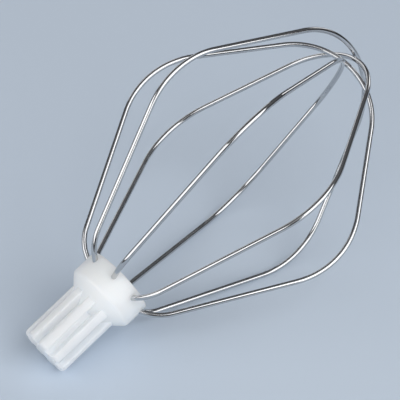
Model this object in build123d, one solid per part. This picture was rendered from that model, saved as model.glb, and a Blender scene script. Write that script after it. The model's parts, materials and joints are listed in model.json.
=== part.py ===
from build123d import *
import math
import os
from dataclasses import dataclass

# Wire whisk of a stand mixer, in millimetres.
# A moulded hub with a splined drive shaft holds the ends of four bent wire loops, which cross at the tip.
# Every piece is drawn about the whisk's own axis, Z, with the end face of the shaft at zero.
# X points to the underside, the side that lies nearest the table.
# The finished whisk is then laid down as it comes to rest, on its shaft end and its two lowest wires.

# Drive shaft
shaft_diameter = 19.8
shaft_length = 24.1
shaft_end_radius = 1.6
spline_count = 9
spline_turn = 2.0
slot_floor_diameter = 11.9
slot_mouth_width = 3.2
slot_floor_width = 2.1
slot_edge_radius = 0.4

# Flare and collar
collar_diameter = 27.0
collar_band = 9.9
flare_angle = 45.0
flare_edge_radius = 2.0
rim_radius = 0.4

# Wire ends in the collar
wire_diameter = 2.0
exit_below_rim = 2.85
exit_angle = 64.0
socket_depth = 7.0
socket_clearance = 0.03

# Bends of a loop, measured to the middle of the wire
stub_length = 1.5
root_bend_radius = 17.0
shoulder_bend_radius = 31.8
tip_bend_radius = 28.3

# Cage, measured over the outside of the wires
whisk_length = 162.9
cage_diameter = 99.2
widest_height = 98.5
crossing_clearance = 0.15
crossing_slack = 1.1

# Values worked out from the sizes above
shaft_radius = shaft_diameter / 2
slot_floor_radius = slot_floor_diameter / 2
collar_radius = collar_diameter / 2
wire_radius = wire_diameter / 2
flare_rise = 1 / math.tan(math.radians(flare_angle))
flare_top = shaft_length + (collar_radius - shaft_radius) * flare_rise
hub_length = flare_top + collar_band
exit_height = hub_length - exit_below_rim
cage_radius = cage_diameter / 2 - wire_radius
crossing_step = wire_diameter + crossing_clearance


@dataclass(frozen=True)
class Loop:
    """One wire loop: its turn about the axis, how far it crosses below the outermost loop, and its lean."""

    azimuth: float
    drop: float
    lean: float


loop_spacing = 45.0
outer = Loop(azimuth=-0.5 * loop_spacing, drop=0.0, lean=0.3)
third = Loop(azimuth=-2.5 * loop_spacing, drop=crossing_step, lean=-0.6)
second = Loop(azimuth=-1.5 * loop_spacing, drop=2 * crossing_step + crossing_slack, lean=0.8)
inner = Loop(azimuth=0.5 * loop_spacing, drop=3 * crossing_step + crossing_slack, lean=0.2)
loops = {"outer_loop": outer, "third_loop": third, "second_loop": second, "inner_loop": inner}


# Geometry of the wire path
def mirrored(point):
    """The same point on the other side of the axis."""
    return Vector(-point.X, point.Y, point.Z)


def leaned(point, loop):
    """A point of the loop turned about the hub by the loop's lean."""
    pivot = Vector(0, 0, exit_height)
    return pivot + (point - pivot).rotate(Axis.Y, loop.lean)


def exit_direction():
    """Direction in which a wire end leaves the collar."""
    angle = math.radians(exit_angle)
    return Vector(math.sin(angle), 0, math.cos(angle))


def exit_point(distance):
    """Point on the line of a wire end, so far outside the collar."""
    return Vector(collar_radius, 0, exit_height) + exit_direction() * distance


def shoulder_centre(loop):
    """Centre of the widest bend, on the side that the loop's azimuth names."""
    return leaned(Vector(cage_radius - shoulder_bend_radius, 0, widest_height), loop)


def tip_centre(loop):
    """Centre of the bend at the tip."""
    crossing = whisk_length - wire_radius - loop.drop
    return leaned(Vector(0, 0, crossing - tip_bend_radius), loop)


def bends(loop):
    """Centres and radii of the bends, in order from the first wire end to the last."""
    outward = exit_direction()
    root = exit_point(stub_length) + Vector(-outward.Z, 0, outward.X) * root_bend_radius
    far_shoulder = leaned(Vector(shoulder_bend_radius - cage_radius, 0, widest_height), loop)
    return [
        (root, root_bend_radius),
        (shoulder_centre(loop), shoulder_bend_radius),
        (tip_centre(loop), tip_bend_radius),
        (far_shoulder, shoulder_bend_radius),
        (mirrored(root), root_bend_radius),
    ]


def run_between(first, second):
    """Ends of the straight run that leaves one bend and meets the next, with both bends on its left."""
    (centre_a, radius_a), (centre_b, radius_b) = first, second
    between = centre_b - centre_a
    along = between.normalized()
    right = Vector(along.Z, 0, -along.X)
    share = (radius_a - radius_b) / between.length
    normal = along * share + right * math.sqrt(1 - share**2)
    return centre_a + normal * radius_a, centre_b + normal * radius_b


def bend_arc(bend, start, end):
    """Arc of a bend from one tangent point to the next."""
    centre, radius = bend
    middle = (start + end) * 0.5 - centre
    return ThreePointArc(start, centre + middle.normalized() * radius, end)


def loop_path(loop):
    """Middle line of a wire loop, from one end inside the collar to the other."""
    turns = bends(loop)
    runs = [run_between(first, second) for first, second in zip(turns, turns[1:])]
    stub = exit_point(-socket_depth), exit_point(stub_length)
    lines = [stub, *runs, (mirrored(stub[1]), mirrored(stub[0]))]
    edges = [Line(*lines[0])]
    for bend, before, after in zip(turns, lines, lines[1:]):
        edges += [bend_arc(bend, before[1], after[0]), Line(*after)]
    return Wire(edges)


def wire_loop(loop):
    """Solid wire of one loop, at its azimuth."""
    path = loop_path(loop)
    section = Plane(origin=path @ 0, z_dir=path % 0) * Circle(wire_radius)
    return Rot(0, 0, loop.azimuth) * sweep(section, path=path)


# Hub
def splined_shaft():
    """Shaft with tapered slots between its splines and a rounded end, long enough to run into the collar."""
    half_mouth = slot_mouth_width / 2
    half_floor = slot_floor_width / 2
    taper = (half_mouth - half_floor) / (shaft_radius - slot_floor_radius)
    past = 2 * shaft_radius
    half_past = half_floor + taper * (past - slot_floor_radius)
    slot = make_face(
        Polyline(
            (slot_floor_radius, -half_floor),
            (past, -half_past),
            (past, half_past),
            (slot_floor_radius, half_floor),
            close=True,
        )
    )
    first_slot = spline_turn + 180 / spline_count
    slots = [Rot(0, 0, first_slot + 360 * number / spline_count) * slot for number in range(spline_count)]
    section = Circle(shaft_radius) - slots
    middle_radius = (shaft_radius + slot_floor_radius) / 2
    mouths = section.vertices().filter_by(lambda corner: corner.center().length > middle_radius)
    section = fillet(mouths, slot_edge_radius)
    blank = extrude(section, amount=flare_top)
    envelope = Cylinder(shaft_radius, flare_top, align=(Align.CENTER, Align.CENTER, Align.MIN))
    end_edge = envelope.edges().filter_by(GeomType.CIRCLE).sort_by(Axis.Z)[0]
    return blank & fillet(end_edge, shaft_end_radius)


def collar():
    """Round collar and its flare, whose cone also closes the upper ends of the slots."""
    cone_tip = shaft_length - shaft_radius * flare_rise
    outline = Polyline(
        (0, 0, cone_tip),
        (collar_radius, 0, flare_top),
        (collar_radius, 0, hub_length),
        (0, 0, hub_length),
        close=True,
    )
    body = revolve(make_face(outline), axis=Axis.Z)
    rim = body.edges().filter_by(GeomType.CIRCLE).sort_by(Axis.Z)[-1]
    body = fillet(rim, rim_radius)
    flare_edge = body.edges().filter_by(GeomType.CIRCLE).sort_by(Axis.Z)[0]
    return fillet(flare_edge, flare_edge_radius)


def socket(azimuth):
    """Blind hole in the collar for one wire end."""
    depth = socket_depth + socket_clearance
    hole = Cylinder(
        wire_radius + socket_clearance,
        depth + collar_radius,
        align=(Align.CENTER, Align.CENTER, Align.MIN),
    )
    return Rot(0, 0, azimuth) * (Plane(origin=exit_point(-depth), z_dir=exit_direction()) * hole)


def drive_hub():
    """Moulded hub: splined shaft, flare and collar, with a hole for each wire end."""
    ends = [loop.azimuth + half_turn for loop in loops.values() for half_turn in (0, 180)]
    return splined_shaft() + collar() - [socket(azimuth) for azimuth in ends]


# Rest on a table
def down(pitch, roll):
    """Downward direction in the whisk's own frame, for an axis raised by pitch and turned by roll."""
    level = math.cos(pitch)
    return Vector(level * math.cos(roll), level * math.sin(roll), -math.sin(pitch))


def shaft_reach(direction):
    """How far the rounded end of the shaft reaches in a direction."""
    across = math.hypot(direction.X, direction.Y)
    return (shaft_radius - shaft_end_radius) * across + shaft_end_radius * (1 + direction.Z)


def wire_reach(loop, direction):
    """How far the widest bend of a loop reaches in a direction, on the side that its azimuth names."""
    angle = math.radians(loop.azimuth)
    across = direction.X * math.cos(angle) + direction.Y * math.sin(angle)
    centre = shoulder_centre(loop)
    bend = shoulder_bend_radius * math.hypot(across, direction.Z)
    return centre.X * across + centre.Z * direction.Z + bend + wire_radius


def crossing_of_zero(gap, low, high):
    """Value between low and high where a gap that changes sign is zero."""
    rises = gap(high) > 0
    for _ in range(60):
        middle = (low + high) / 2
        low, high = (low, middle) if (gap(middle) > 0) == rises else (middle, high)
    return (low + high) / 2


def level_roll(pitch):
    """Roll at which the two lowest wires reach equally far down."""
    limit = math.radians(loop_spacing / 2)

    def gap(roll):
        direction = down(pitch, roll)
        return wire_reach(inner, direction) - wire_reach(outer, direction)

    return crossing_of_zero(gap, -limit, limit)


def resting_down():
    """Downward direction when the shaft end and the two lowest wires all touch the table."""

    def gap(pitch):
        direction = down(pitch, level_roll(pitch))
        return shaft_reach(direction) - wire_reach(inner, direction)

    pitch = crossing_of_zero(gap, 0, math.radians(60))
    return down(pitch, level_roll(pitch))


def laid_down(pieces):
    """The pieces lying on the table, with the origin under the middle of their common box."""
    up = -resting_down()
    forward = Vector(0, 0, 1) - up * up.Z
    table = Plane(origin=(0, 0, 0), x_dir=forward, z_dir=up)
    lying = {name: table.to_local_coords(piece) for name, piece in pieces.items()}
    box = Compound(list(lying.values())).bounding_box()
    middle = box.center()
    return {name: Pos(-middle.X, -middle.Y, -box.min.Z) * piece for name, piece in lying.items()}


# Build and write every node
pieces = {"drive_hub": drive_hub()}
pieces |= {name: wire_loop(loop) for name, loop in loops.items()}
nodes = laid_down(pieces)
os.makedirs("parts", exist_ok=True)
for name, piece in nodes.items():
    export_step(piece, f"parts/{name}.step")
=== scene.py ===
# Wire whisk of a stand mixer: its polished wires, finishes, light and camera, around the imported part
import json
import logging
import math
from abc import ABC, abstractmethod
from dataclasses import dataclass
from enum import Enum
from typing import Any

import bpy
from mathutils import Matrix, Quaternion, Vector


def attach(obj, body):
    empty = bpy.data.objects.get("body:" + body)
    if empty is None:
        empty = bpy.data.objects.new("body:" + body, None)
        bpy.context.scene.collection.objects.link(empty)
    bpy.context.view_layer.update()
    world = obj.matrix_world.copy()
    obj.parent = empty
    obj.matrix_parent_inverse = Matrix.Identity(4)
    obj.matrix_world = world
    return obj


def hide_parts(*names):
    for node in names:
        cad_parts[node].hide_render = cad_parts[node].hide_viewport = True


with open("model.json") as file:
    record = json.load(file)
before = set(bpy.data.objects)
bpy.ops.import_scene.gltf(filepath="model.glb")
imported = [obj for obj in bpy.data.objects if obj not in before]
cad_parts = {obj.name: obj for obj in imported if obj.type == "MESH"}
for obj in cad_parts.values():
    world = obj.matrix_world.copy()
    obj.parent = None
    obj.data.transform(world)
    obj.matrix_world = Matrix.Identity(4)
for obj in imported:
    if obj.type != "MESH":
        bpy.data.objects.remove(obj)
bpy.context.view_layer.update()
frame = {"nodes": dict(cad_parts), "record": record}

Colour = tuple[float, float, float]

MM = 0.001
STRAIGHTENED = "straightened"
NODE_SPACING = 220
log = logging.getLogger("whisk")


class Slot(Enum):
    """Material slots of the record."""

    HUB = "hub_plastic"
    WIRE = "wire_steel"


class Body(Enum):
    """Bodies that a piece can ride on."""

    WHISK = "root"


class MixSocket(Enum):
    """Numbers of a colour mix node's sockets, whose names repeat for each type of data."""

    SHARE = 0
    FIRST = 6
    SECOND = 7
    RESULT = 2


class Stretch(ABC):
    """A stretch of a wire's middle line, drawn in the XZ plane of its loop."""

    @property
    @abstractmethod
    def length(self) -> float:
        """Length of the stretch along the middle of the wire."""

    @abstractmethod
    def draw(self) -> None:
        """Carries the selected end face of the wire on along the stretch."""

    @abstractmethod
    def unbent(self, point: Vector) -> Vector:
        """Moves a point of the stretch to where it lay before the wire was bent.

        Args:
            point: A point on the wire, in the plane frame of its loop.

        Returns:
            The point beside a straight wire that runs up Z from the origin.
        """


@dataclass(frozen=True)
class Run(Stretch):
    """A straight stretch between two bends."""

    start: Vector
    end: Vector

    @property
    def length(self) -> float:
        """Distance between the two ends."""
        return (self.end - self.start).length

    def draw(self) -> None:
        """Extrudes the end face from the start of the run to its end."""
        bpy.ops.mesh.extrude_region_move(TRANSFORM_OT_translate={"value": self.end - self.start})

    def unbent(self, point: Vector) -> Vector:
        """Splits a point into its place along the run and beside it.

        Args:
            point: A point on the wire, in the plane frame of its loop.

        Returns:
            The point beside a straight wire that runs up Z from the origin.
        """
        along = (self.end - self.start).normalized()
        outward = Vector((along.z, 0, -along.x))
        offset = point - self.start
        return Vector((offset.dot(outward), point.y, offset.dot(along)))


@dataclass(frozen=True)
class Bend(Stretch):
    """A round stretch about a centre, turning to the left of the wire's direction."""

    centre: Vector
    start: Vector
    end: Vector
    step: float = math.radians(2.5)

    @property
    def radius(self) -> float:
        """Radius at the middle of the wire."""
        return (self.start - self.centre).length

    @property
    def turn(self) -> float:
        """Angle that the bend turns through."""
        return (self.start - self.centre).angle(self.end - self.centre)

    @property
    def length(self) -> float:
        """Length of the arc."""
        return self.radius * self.turn

    def draw(self) -> None:
        """Spins the end face about the centre of the bend."""
        steps = math.ceil(self.turn / self.step)
        bpy.ops.mesh.spin(steps=steps, angle=self.turn, center=self.centre, axis=(0, 1, 0))

    def unbent(self, point: Vector) -> Vector:
        """Rolls a point of the bend out on to a straight line.

        Args:
            point: A point on the wire, in the plane frame of its loop.

        Returns:
            The point beside a straight wire that runs up Z from the origin.
        """
        arm = Vector((point.x, 0, point.z)) - self.centre
        angle = (self.start - self.centre).angle(arm)
        return Vector((arm.length - self.radius, point.y, angle * self.radius))


@dataclass(frozen=True)
class WhiskPlace:
    """How the whisk lies: shaft end and axis come from the record, the roll from the wires it lies on."""

    mount: str = "shaft_end"
    roll: float = math.radians(-0.1856)

    def matrix(self) -> Matrix:
        """Finds the place of the whisk's own frame, whose Z is its axis and whose X is its underside.

        Returns:
            The matrix from the whisk's own frame to the frame of the part.
        """
        mount = next(m for m in frame["record"]["mounts"] if m["name"] == self.mount)
        axis = -Vector(mount["axis"]).normalized()
        across = Vector((0, 1, 0))
        underside = across.cross(axis)
        turned = Matrix((underside, across, axis)).transposed().to_4x4()
        return Matrix.Translation(mount["pos_m"]) @ turned @ Matrix.Rotation(self.roll, 4, "Z")


@dataclass(frozen=True)
class WireForm:
    """Sizes that every loop shares, about the whisk's own axis and at the middle of the wire."""

    wire_radius: float = 1.0 * MM
    sides: int = 24
    collar_radius: float = 13.5 * MM
    exit_height: float = 34.75 * MM
    exit_angle: float = math.radians(64)
    socket_depth: float = 7.0 * MM
    stub_length: float = 1.5 * MM
    root_bend: float = 17.0 * MM
    shoulder_bend: float = 31.8 * MM
    tip_bend: float = 28.3 * MM
    cage_radius: float = 48.6 * MM
    widest_height: float = 98.5 * MM
    tip_height: float = 161.9 * MM

    def exit_direction(self) -> Vector:
        """Direction in which a wire end leaves the collar."""
        return Vector((math.sin(self.exit_angle), 0, math.cos(self.exit_angle)))

    def exit_point(self, distance: float) -> Vector:
        """Point on the line of a wire end, so far outside the collar."""
        return Vector((self.collar_radius, 0, self.exit_height)) + self.exit_direction() * distance

    def leaned(self, x: float, z: float, lean: float) -> Vector:
        """Turns a point of a loop about the hub.

        Args:
            x: Place of the point across the axis.
            z: Height of the point along the axis.
            lean: Angle by which the loop leans towards the side that its azimuth names.

        Returns:
            The turned point.
        """
        pivot = Vector((0, 0, self.exit_height))
        return pivot + Matrix.Rotation(lean, 3, "Y") @ (Vector((x, 0, z)) - pivot)

    def bends(self, drop: float, lean: float) -> list[tuple[Vector, float]]:
        """Places the five bends of a loop.

        Args:
            drop: How far the loop crosses below the outermost one.
            lean: Angle by which the loop leans.

        Returns:
            Centre and radius of each bend, from the first wire end to the last.
        """
        outward = self.exit_direction()
        root = self.exit_point(self.stub_length) + Vector((-outward.z, 0, outward.x)) * self.root_bend
        inset = self.cage_radius - self.shoulder_bend
        shoulder = self.leaned(inset, self.widest_height, lean)
        far_shoulder = self.leaned(-inset, self.widest_height, lean)
        tip = self.leaned(0, self.tip_height - drop - self.tip_bend, lean)
        return [
            (root, self.root_bend),
            (shoulder, self.shoulder_bend),
            (tip, self.tip_bend),
            (far_shoulder, self.shoulder_bend),
            (mirrored(root), self.root_bend),
        ]


def mirrored(point: Vector) -> Vector:
    """The same point on the other side of the axis."""
    return Vector((-point.x, point.y, point.z))


def run_between(first: tuple[Vector, float], second: tuple[Vector, float]) -> Run:
    """Finds the straight run that leaves one bend and meets the next, with both bends on its left.

    Args:
        first: Centre and radius of the bend that the run leaves.
        second: Centre and radius of the bend that it meets.

    Returns:
        The run, tangent to both bends.
    """
    (centre_a, radius_a), (centre_b, radius_b) = first, second
    between = centre_b - centre_a
    along = between.normalized()
    right = Vector((along.z, 0, -along.x))
    share = (radius_a - radius_b) / between.length
    normal = along * share + right * math.sqrt(1 - share**2)
    return Run(centre_a + normal * radius_a, centre_b + normal * radius_b)


@dataclass(frozen=True)
class WireLoop:
    """One bent wire, modelled as a round bar that is extruded along its runs and spun round its bends."""

    name: str
    node: str
    azimuth: float
    drop: float
    lean: float
    form: WireForm = WireForm()
    smooth_angle: float = math.radians(40)

    def stretches(self) -> list[Stretch]:
        """Runs and bends of the loop, from one end inside the collar to the other."""
        form = self.form
        turns = form.bends(self.drop, self.lean)
        stub = Run(form.exit_point(-form.socket_depth), form.exit_point(form.stub_length))
        runs = [run_between(first, second) for first, second in zip(turns, turns[1:])]
        runs = [stub, *runs, Run(mirrored(stub.end), mirrored(stub.start))]
        path: list[Stretch] = [stub]
        for (centre, _), before, after in zip(turns, runs, runs[1:]):
            path += [Bend(centre, before.end, after.start), after]
        return path

    def build(self, place: Matrix) -> bpy.types.Object:
        """Models the wire in the plane of its loop and then turns it to its place.

        Args:
            place: Matrix from the whisk's own frame to the frame of the part.

        Returns:
            The wire, at rest in the frame of the part.
        """
        path = self.stretches()
        bpy.ops.object.select_all(action="DESELECT")
        bpy.ops.mesh.primitive_circle_add(
            vertices=self.form.sides,
            radius=self.form.wire_radius,
            fill_type="NGON",
            location=path[0].start,
            rotation=(0, self.form.exit_angle, 0),
        )
        piece = bpy.context.object
        piece.name = piece.data.name = self.name
        bpy.ops.object.transform_apply(location=True, rotation=True, scale=True)
        bpy.ops.object.mode_set(mode="EDIT")
        bpy.ops.mesh.select_all(action="SELECT")
        counts = [len(piece.data.vertices)]
        for stretch in path:
            stretch.draw()
            piece.update_from_editmode()
            counts.append(len(piece.data.vertices))
        bpy.ops.mesh.select_all(action="SELECT")
        bpy.ops.mesh.normals_make_consistent(inside=False)
        bpy.ops.object.mode_set(mode="OBJECT")
        self.mark_straightened(piece, path, counts)
        piece.matrix_world = place @ Matrix.Rotation(self.azimuth, 4, "Z")
        bpy.ops.object.transform_apply(location=True, rotation=True, scale=True)
        bpy.ops.object.shade_smooth_by_angle(angle=self.smooth_angle)
        return piece

    def mark_straightened(self, piece: bpy.types.Object, path: list[Stretch], counts: list[int]) -> None:
        """Stores where each point lay on the straight wire, so that drawing marks follow the bends.

        Args:
            piece: The wire, still in the plane of its loop.
            path: Its runs and bends, in the order in which they were drawn.
            counts: Number of points before the first stretch and after each stretch.
        """
        attribute = piece.data.attributes.new(STRAIGHTENED, "FLOAT_VECTOR", "POINT")
        points = piece.data.vertices
        first, along = 0, 0.0
        for stretch, last in zip(path, counts[1:]):
            for number in range(first, last):
                place = stretch.unbent(points[number].co)
                attribute.data[number].vector = place + Vector((0, 0, along))
            first, along = last, along + stretch.length

    def dress(self, piece: bpy.types.Object, finish: bpy.types.Material) -> None:
        """Gives the wire its finish and hides the plain solid that it stands for.

        Args:
            piece: The wire that build made.
            finish: Its material.
        """
        piece.data.materials.append(finish)
        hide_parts(self.node)
        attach(piece, Body.WHISK.value)


@dataclass(frozen=True)
class DriveHub:
    """The moulded hub: the shape of its solid, closed round the wires that the plastic is moulded on to."""

    name: str = "moulded_hub"
    node: str = "drive_hub"
    weld: float = 0.001 * MM
    wall: float = 1.0 * MM
    band_bottom: float = 28.2 * MM
    band_top: float = 37.2 * MM
    form: WireForm = WireForm()

    def build(self, place: Matrix) -> bpy.types.Object:
        """Copies the solid, welds the copy and closes the holes that the wires stand in.

        Args:
            place: Matrix from the whisk's own frame to the frame of the part.

        Returns:
            The hub, at rest in the frame of the part.
        """
        bpy.ops.object.select_all(action="DESELECT")
        piece = bpy.data.objects.new(self.name, frame["nodes"][self.node].data.copy())
        piece.data.name = self.name
        bpy.context.scene.collection.objects.link(piece)
        piece.select_set(True)
        bpy.context.view_layer.objects.active = piece
        bpy.ops.object.mode_set(mode="EDIT")
        bpy.ops.mesh.select_mode(type="FACE")
        bpy.ops.mesh.select_all(action="SELECT")
        bpy.ops.mesh.remove_doubles(threshold=self.weld, use_sharp_edge_from_normals=True)
        bpy.ops.mesh.select_all(action="DESELECT")
        bpy.ops.object.mode_set(mode="OBJECT")
        self.select_holes(piece, place.inverted())
        bpy.ops.object.mode_set(mode="EDIT")
        bpy.ops.mesh.delete(type="FACE")
        bpy.ops.mesh.select_mode(type="EDGE")
        bpy.ops.mesh.select_non_manifold()
        bpy.ops.mesh.fill_holes(sides=0)
        bpy.ops.object.mode_set(mode="OBJECT")
        return piece

    def select_holes(self, piece: bpy.types.Object, into_whisk: Matrix) -> None:
        """Selects every face that lies inside the collar.

        Args:
            piece: The copy of the solid.
            into_whisk: Matrix from the frame of the part to the whisk's own frame.
        """
        for face in piece.data.polygons:
            centre = into_whisk @ face.center
            in_band = self.band_bottom < centre.z < self.band_top
            face.select = in_band and centre.xy.length < self.form.collar_radius - self.wall

    def dress(self, piece: bpy.types.Object, finish: bpy.types.Material) -> None:
        """Gives the hub its finish and hides the plain solid that it stands for.

        Args:
            piece: The hub that build made.
            finish: Its material.
        """
        piece.data.materials.clear()
        piece.data.materials.append(finish)
        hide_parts(self.node)
        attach(piece, Body.WHISK.value)


class ShaderSketch:
    """A node tree with short calls to add, set and join its nodes."""

    def __init__(self, tree: bpy.types.NodeTree) -> None:
        """Keeps the tree that is drawn in."""
        self.tree = tree

    def add(self, kind: str, values: dict[Any, Any] | None = None, **settings: Any) -> bpy.types.Node:
        """Adds a node.

        Args:
            kind: Type name of the node.
            values: Values of its input sockets, by name or number.
            settings: Its own settings, by name.

        Returns:
            The new node.
        """
        node = self.tree.nodes.new(kind)
        node.location = (len(self.tree.nodes) * NODE_SPACING, 0)
        for name, value in settings.items():
            setattr(node, name, value)
        for socket, value in (values or {}).items():
            node.inputs[socket].default_value = value
        return node

    def join(self, out: bpy.types.NodeSocket, into: bpy.types.NodeSocket) -> None:
        """Joins an output socket to an input socket."""
        self.tree.links.new(out, into)

    def place(
        self, group: bpy.types.NodeTree, vector: bpy.types.NodeSocket, **values: float
    ) -> bpy.types.NodeSocket:
        """Places a node group that reads a vector.

        Args:
            group: The group's tree.
            vector: Coordinates that it reads.
            values: Values of its other inputs, by name.

        Returns:
            The group's first output.
        """
        node = self.add("ShaderNodeGroup", node_tree=group)
        self.join(vector, node.inputs["Vector"])
        for name, value in values.items():
            node.inputs[name].default_value = value
        return node.outputs[0]

    def blend(self, share: bpy.types.NodeSocket, first: Colour, second: Colour) -> bpy.types.NodeSocket:
        """Mixes two colours by a value that changes over the surface.

        Args:
            share: Share of the second colour.
            first: Colour where the share is 0.
            second: Colour where the share is 1.

        Returns:
            The mixed colour.
        """
        node = self.add("ShaderNodeMix", data_type="RGBA")
        node.inputs[MixSocket.FIRST.value].default_value = (*first, 1)
        node.inputs[MixSocket.SECOND.value].default_value = (*second, 1)
        self.join(share, node.inputs[MixSocket.SHARE.value])
        return node.outputs[MixSocket.RESULT.value]

    def emboss(self, height: bpy.types.NodeSocket, strength: float, depth: float) -> bpy.types.NodeSocket:
        """Makes a fine relief.

        Args:
            height: Height of the relief, from 0 to 1.
            strength: How much of the relief shows.
            depth: Real depth of the relief.

        Returns:
            The normal of the relief.
        """
        node = self.add("ShaderNodeBump", {"Strength": strength, "Distance": depth})
        self.join(height, node.inputs["Height"])
        return node.outputs["Normal"]


def cloudy_group(
    name: str = "cloudy_variation", roughness: float = 0.55, lowest: float = 0.3, highest: float = 0.7
) -> bpy.types.NodeTree:
    """Makes the group that varies a value softly over a surface, or returns it if it is there.

    Args:
        name: Name of the group.
        roughness: How strongly the finer clouds show.
        lowest: Value of the clouds that gives Low.
        highest: Value of the clouds that gives High.

    Returns:
        The group, with inputs Vector, Scale, Detail, Low and High and the output Value.
    """
    found = bpy.data.node_groups.get(name)
    if found:
        return found
    tree = bpy.data.node_groups.new(name, "ShaderNodeTree")
    tree.interface.new_socket("Vector", in_out="INPUT", socket_type="NodeSocketVector")
    for label in ("Scale", "Detail", "Low", "High"):
        tree.interface.new_socket(label, in_out="INPUT", socket_type="NodeSocketFloat")
    tree.interface.new_socket("Value", in_out="OUTPUT", socket_type="NodeSocketFloat")
    sketch = ShaderSketch(tree)
    inlet = sketch.add("NodeGroupInput")
    noise = sketch.add("ShaderNodeTexNoise", {"Roughness": roughness})
    spread = sketch.add("ShaderNodeMapRange", {"From Min": lowest, "From Max": highest})
    outlet = sketch.add("NodeGroupOutput")
    for label in ("Vector", "Scale", "Detail"):
        sketch.join(inlet.outputs[label], noise.inputs[label])
    sketch.join(noise.outputs["Fac"], spread.inputs["Value"])
    sketch.join(inlet.outputs["Low"], spread.inputs["To Min"])
    sketch.join(inlet.outputs["High"], spread.inputs["To Max"])
    sketch.join(spread.outputs["Result"], outlet.inputs["Value"])
    return tree


@dataclass(frozen=True)
class Finish(ABC):
    """A named surface that can make its material."""

    name: str

    def start(self) -> tuple[bpy.types.Material, ShaderSketch, bpy.types.Node]:
        """Starts the material with its Principled shader.

        Returns:
            The material, the sketch of its tree and its shader.
        """
        material = bpy.data.materials.new(self.name)
        material.use_nodes = True
        return material, ShaderSketch(material.node_tree), material.node_tree.nodes["Principled BSDF"]

    @abstractmethod
    def material(self) -> bpy.types.Material:
        """Makes the material."""


@dataclass(frozen=True)
class MouldedPlastic(Finish):
    """White plastic as it comes from the mould: satin, a little see-through, with a faint cloudiness."""

    name: str = "white_moulded_plastic"
    pale: Colour = (0.905, 0.93, 0.955)
    deep: Colour = (0.89, 0.92, 0.95)
    cloud_scale: float = 90.0
    cloud_detail: float = 3.0
    grain_scale: float = 2600.0
    grain_detail: float = 2.0
    smoothest: float = 0.30
    roughest: float = 0.46
    grain_strength: float = 0.25
    grain_height: float = 0.02 * MM
    refraction: float = 1.5
    scatter: float = 1.0
    scatter_radius: Colour = (1.0, 0.95, 0.9)
    scatter_depth: float = 8.0 * MM

    def material(self) -> bpy.types.Material:
        """Makes the material.

        Returns:
            The plastic, cloudy in colour and finely grained.
        """
        material, sketch, shader = self.start()
        place = sketch.add("ShaderNodeTexCoord").outputs["Object"]
        group = cloudy_group()
        clouds = sketch.place(
            group, place, Scale=self.cloud_scale, Detail=self.cloud_detail, Low=0, High=1
        )
        sketch.join(sketch.blend(clouds, self.deep, self.pale), shader.inputs["Base Color"])
        grain = sketch.place(
            group,
            place,
            Scale=self.grain_scale,
            Detail=self.grain_detail,
            Low=self.smoothest,
            High=self.roughest,
        )
        sketch.join(grain, shader.inputs["Roughness"])
        relief = sketch.emboss(grain, self.grain_strength, self.grain_height)
        sketch.join(relief, shader.inputs["Normal"])
        shader.inputs["IOR"].default_value = self.refraction
        shader.inputs["Subsurface Weight"].default_value = self.scatter
        shader.inputs["Subsurface Radius"].default_value = self.scatter_radius
        shader.inputs["Subsurface Scale"].default_value = self.scatter_depth
        return material


@dataclass(frozen=True)
class PolishedWire(Finish):
    """Bright drawn stainless wire: fine lines along its length and a little dullness from handling."""

    name: str = "polished_wire"
    bright: Colour = (0.60, 0.605, 0.615)
    dull: Colour = (0.53, 0.54, 0.555)
    smudge_scale: float = 45.0
    smudge_detail: float = 4.0
    line_scale: float = 5200.0
    line_detail: float = 2.0
    line_stretch: float = 0.01
    smoothest: float = 0.05
    roughest: float = 0.12
    line_strength: float = 0.2
    line_height: float = 0.004 * MM

    def material(self) -> bpy.types.Material:
        """Makes the material.

        Returns:
            The steel, with its lines laid along the wire.
        """
        material, sketch, shader = self.start()
        along = sketch.add("ShaderNodeAttribute", attribute_name=STRAIGHTENED).outputs["Vector"]
        stretch = sketch.add("ShaderNodeMapping", {"Scale": (1, 1, self.line_stretch)})
        sketch.join(along, stretch.inputs["Vector"])
        place = sketch.add("ShaderNodeTexCoord").outputs["Object"]
        group = cloudy_group()
        smudges = sketch.place(
            group, place, Scale=self.smudge_scale, Detail=self.smudge_detail, Low=0, High=1
        )
        sketch.join(sketch.blend(smudges, self.bright, self.dull), shader.inputs["Base Color"])
        lines = sketch.place(
            group,
            stretch.outputs["Vector"],
            Scale=self.line_scale,
            Detail=self.line_detail,
            Low=self.smoothest,
            High=self.roughest,
        )
        sketch.join(lines, shader.inputs["Roughness"])
        relief = sketch.emboss(lines, self.line_strength, self.line_height)
        sketch.join(relief, shader.inputs["Normal"])
        shader.inputs["Metallic"].default_value = 1
        return material


@dataclass(frozen=True)
class PaleFloor(Finish):
    """Plain pale matt surface that the whisk lies on."""

    name: str = "pale_floor"
    colour: Colour = (0.63, 0.72, 0.83)
    shade: Colour = (0.61, 0.70, 0.815)
    cloud_scale: float = 3.0
    cloud_detail: float = 2.0
    roughness: float = 0.7
    gloss: float = 0.2

    def material(self) -> bpy.types.Material:
        """Makes the material.

        Returns:
            The floor's matt finish.
        """
        material, sketch, shader = self.start()
        place = sketch.add("ShaderNodeTexCoord").outputs["Object"]
        clouds = sketch.place(
            cloudy_group(), place, Scale=self.cloud_scale, Detail=self.cloud_detail, Low=0, High=1
        )
        sketch.join(sketch.blend(clouds, self.shade, self.colour), shader.inputs["Base Color"])
        shader.inputs["Roughness"].default_value = self.roughness
        shader.inputs["Specular IOR Level"].default_value = self.gloss
        return material


def seen_from(azimuth: float, elevation: float) -> Vector:
    """Finds the direction from the whisk towards something round it.

    Args:
        azimuth: Angle about Z in degrees, where 0 is towards -Y and 90 is towards +X.
        elevation: Angle above the floor, in degrees.

    Returns:
        The direction, of length one.
    """
    turn, rise = math.radians(azimuth), math.radians(elevation)
    return Vector((math.sin(turn) * math.cos(rise), -math.cos(turn) * math.cos(rise), math.sin(rise)))


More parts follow.
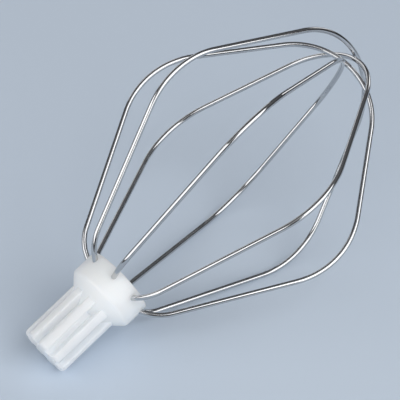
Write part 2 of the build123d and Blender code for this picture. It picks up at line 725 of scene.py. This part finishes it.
@dataclass(frozen=True)
class Softbox:
    """A rectangular studio lamp that points at the whisk."""

    name: str
    azimuth: float
    elevation: float
    width: float
    height: float
    level: float
    distance: float = 2.0

    def build(self, aim: Vector) -> None:
        """Hangs the lamp and points it.

        Args:
            aim: Point that the lamp looks at.
        """
        towards = seen_from(self.azimuth, self.elevation)
        data = bpy.data.lights.new(self.name, "AREA")
        data.shape = "RECTANGLE"
        data.size, data.size_y = self.width, self.height
        data.energy = self.level * math.pi * self.width * self.height
        lamp = bpy.data.objects.new(self.name, data)
        lamp.location = aim + towards * self.distance
        lamp.rotation_euler = (-towards).to_track_quat("-Z", "Y").to_euler()
        bpy.context.scene.collection.objects.link(lamp)


@dataclass(frozen=True)
class PhotoCamera:
    """The camera of the photograph, in an image of 400 by 400 pixels."""

    image_width: float = 400.0
    focal_length: float = 1499.26
    place: tuple[float, float, float] = (-0.28777, -0.27879, 0.41116)
    aim: tuple[float, float, float] = (-0.01040, -0.00772, 0.04993)
    roll: float = math.radians(4.436)
    sensor: float = 36.0
    nearest: float = 0.01
    farthest: float = 50.0

    def build(self) -> None:
        """Sets up the camera and makes it the scene's own."""
        data = bpy.data.cameras.new("photo_camera")
        data.sensor_width = self.sensor
        data.lens = self.focal_length / self.image_width * self.sensor
        data.clip_start, data.clip_end = self.nearest, self.farthest
        camera = bpy.data.objects.new("photo_camera", data)
        camera.location = self.place
        view = (Vector(self.aim) - Vector(self.place)).to_track_quat("-Z", "Y")
        camera.rotation_mode = "QUATERNION"
        camera.rotation_quaternion = view @ Quaternion((0, 0, 1), self.roll)
        bpy.context.scene.collection.objects.link(camera)
        bpy.context.scene.camera = camera


@dataclass(frozen=True)
class Studio:
    """Floor, lamps and surroundings."""

    floor_size: float = 12.0
    aim: tuple[float, float, float] = (0.0, 0.0, 0.03)
    lamps: tuple[Softbox, ...] = (
        Softbox("left_softbox", azimuth=-95, elevation=30, width=2.80, height=1.42, level=1.85),
        Softbox("right_softbox", azimuth=5, elevation=40, width=1.75, height=2.35, level=2.18),
        Softbox("back_softbox", azimuth=99, elevation=24, width=0.70, height=0.90, level=1.55),
        Softbox("front_softbox", azimuth=-47, elevation=64, width=1.50, height=1.25, level=0.30),
        Softbox("far_softbox", azimuth=170, elevation=17, width=1.40, height=0.60, level=1.25),
    )
    horizon: Colour = (0.30, 0.32, 0.35)
    horizon_top: float = 0.02
    middle: Colour = (0.03, 0.03, 0.033)
    middle_height: float = 0.12
    zenith: Colour = (0.16, 0.16, 0.165)

    def build(self) -> None:
        """Lays the floor, hangs the lamps and colours the surroundings."""
        bpy.ops.object.select_all(action="DESELECT")
        bpy.ops.mesh.primitive_plane_add(size=self.floor_size)
        floor = bpy.context.object
        floor.name = "floor"
        floor.data.materials.append(PaleFloor().material())
        for lamp in self.lamps:
            lamp.build(Vector(self.aim))
        self.surround()

    def surround(self) -> None:
        """Makes the room: pale near the floor, dim at the sides, lighter overhead."""
        world = bpy.data.worlds.new("studio")
        world.use_nodes = True
        bpy.context.scene.world = world
        sketch = ShaderSketch(world.node_tree)
        direction = sketch.add("ShaderNodeTexCoord").outputs["Generated"]
        parts = sketch.add("ShaderNodeSeparateXYZ")
        ramp = sketch.add("ShaderNodeValToRGB")
        stops = ramp.color_ramp.elements
        stops[0].position, stops[0].color = self.horizon_top, (*self.horizon, 1)
        stops[1].position, stops[1].color = 1.0, (*self.zenith, 1)
        stops.new(self.middle_height).color = (*self.middle, 1)
        sketch.join(direction, parts.inputs[0])
        sketch.join(parts.outputs["Z"], ramp.inputs[0])
        sketch.join(ramp.outputs[0], world.node_tree.nodes["Background"].inputs["Color"])


@dataclass(frozen=True)
class Whisk:
    """The whole whisk: four wire loops and the hub that holds their ends."""

    spacing: float = math.radians(45)
    crossing: float = 2.15 * MM
    slack: float = 1.1 * MM

    def loop(self, name: str, turns: float, crossed: int, lean: float) -> WireLoop:
        """Sizes one loop.

        Args:
            name: What the loop is called, after its place at the tip.
            turns: Turn about the axis, in steps of the spacing.
            crossed: Number of loops that cross outside it at the tip.
            lean: Angle by which it leans, in degrees.

        Returns:
            The loop.
        """
        drop = crossed * self.crossing + (self.slack if crossed > 1 else 0)
        return WireLoop(f"{name}_wire", f"{name}_loop", turns * self.spacing, drop, math.radians(lean))

    def loops(self) -> list[WireLoop]:
        """The loops, from the innermost at the tip to the outermost."""
        return [
            self.loop("inner", turns=0.5, crossed=3, lean=0.2),
            self.loop("second", turns=-1.5, crossed=2, lean=0.8),
            self.loop("third", turns=-2.5, crossed=1, lean=-0.6),
            self.loop("outer", turns=-0.5, crossed=0, lean=0.3),
        ]

    def build(self) -> None:
        """Models the wires and dresses every piece."""
        place = WhiskPlace().matrix()
        steel = PolishedWire().material()
        for loop in self.loops():
            piece = loop.build(place)
            loop.dress(piece, steel)
            log.info("%s: %d faces", piece.name, len(piece.data.polygons))
        hub = DriveHub()
        piece = hub.build(place)
        hub.dress(piece, MouldedPlastic().material())
        log.info("%s: %d faces", piece.name, len(piece.data.polygons))


def main() -> None:
    """Builds the whisk, the studio and the camera."""
    logging.basicConfig(level=logging.INFO, format="%(message)s")
    bpy.context.scene.view_settings.view_transform = "Standard"
    Whisk().build()
    Studio().build()
    PhotoCamera().build()


if __name__ == "__main__":
    main()
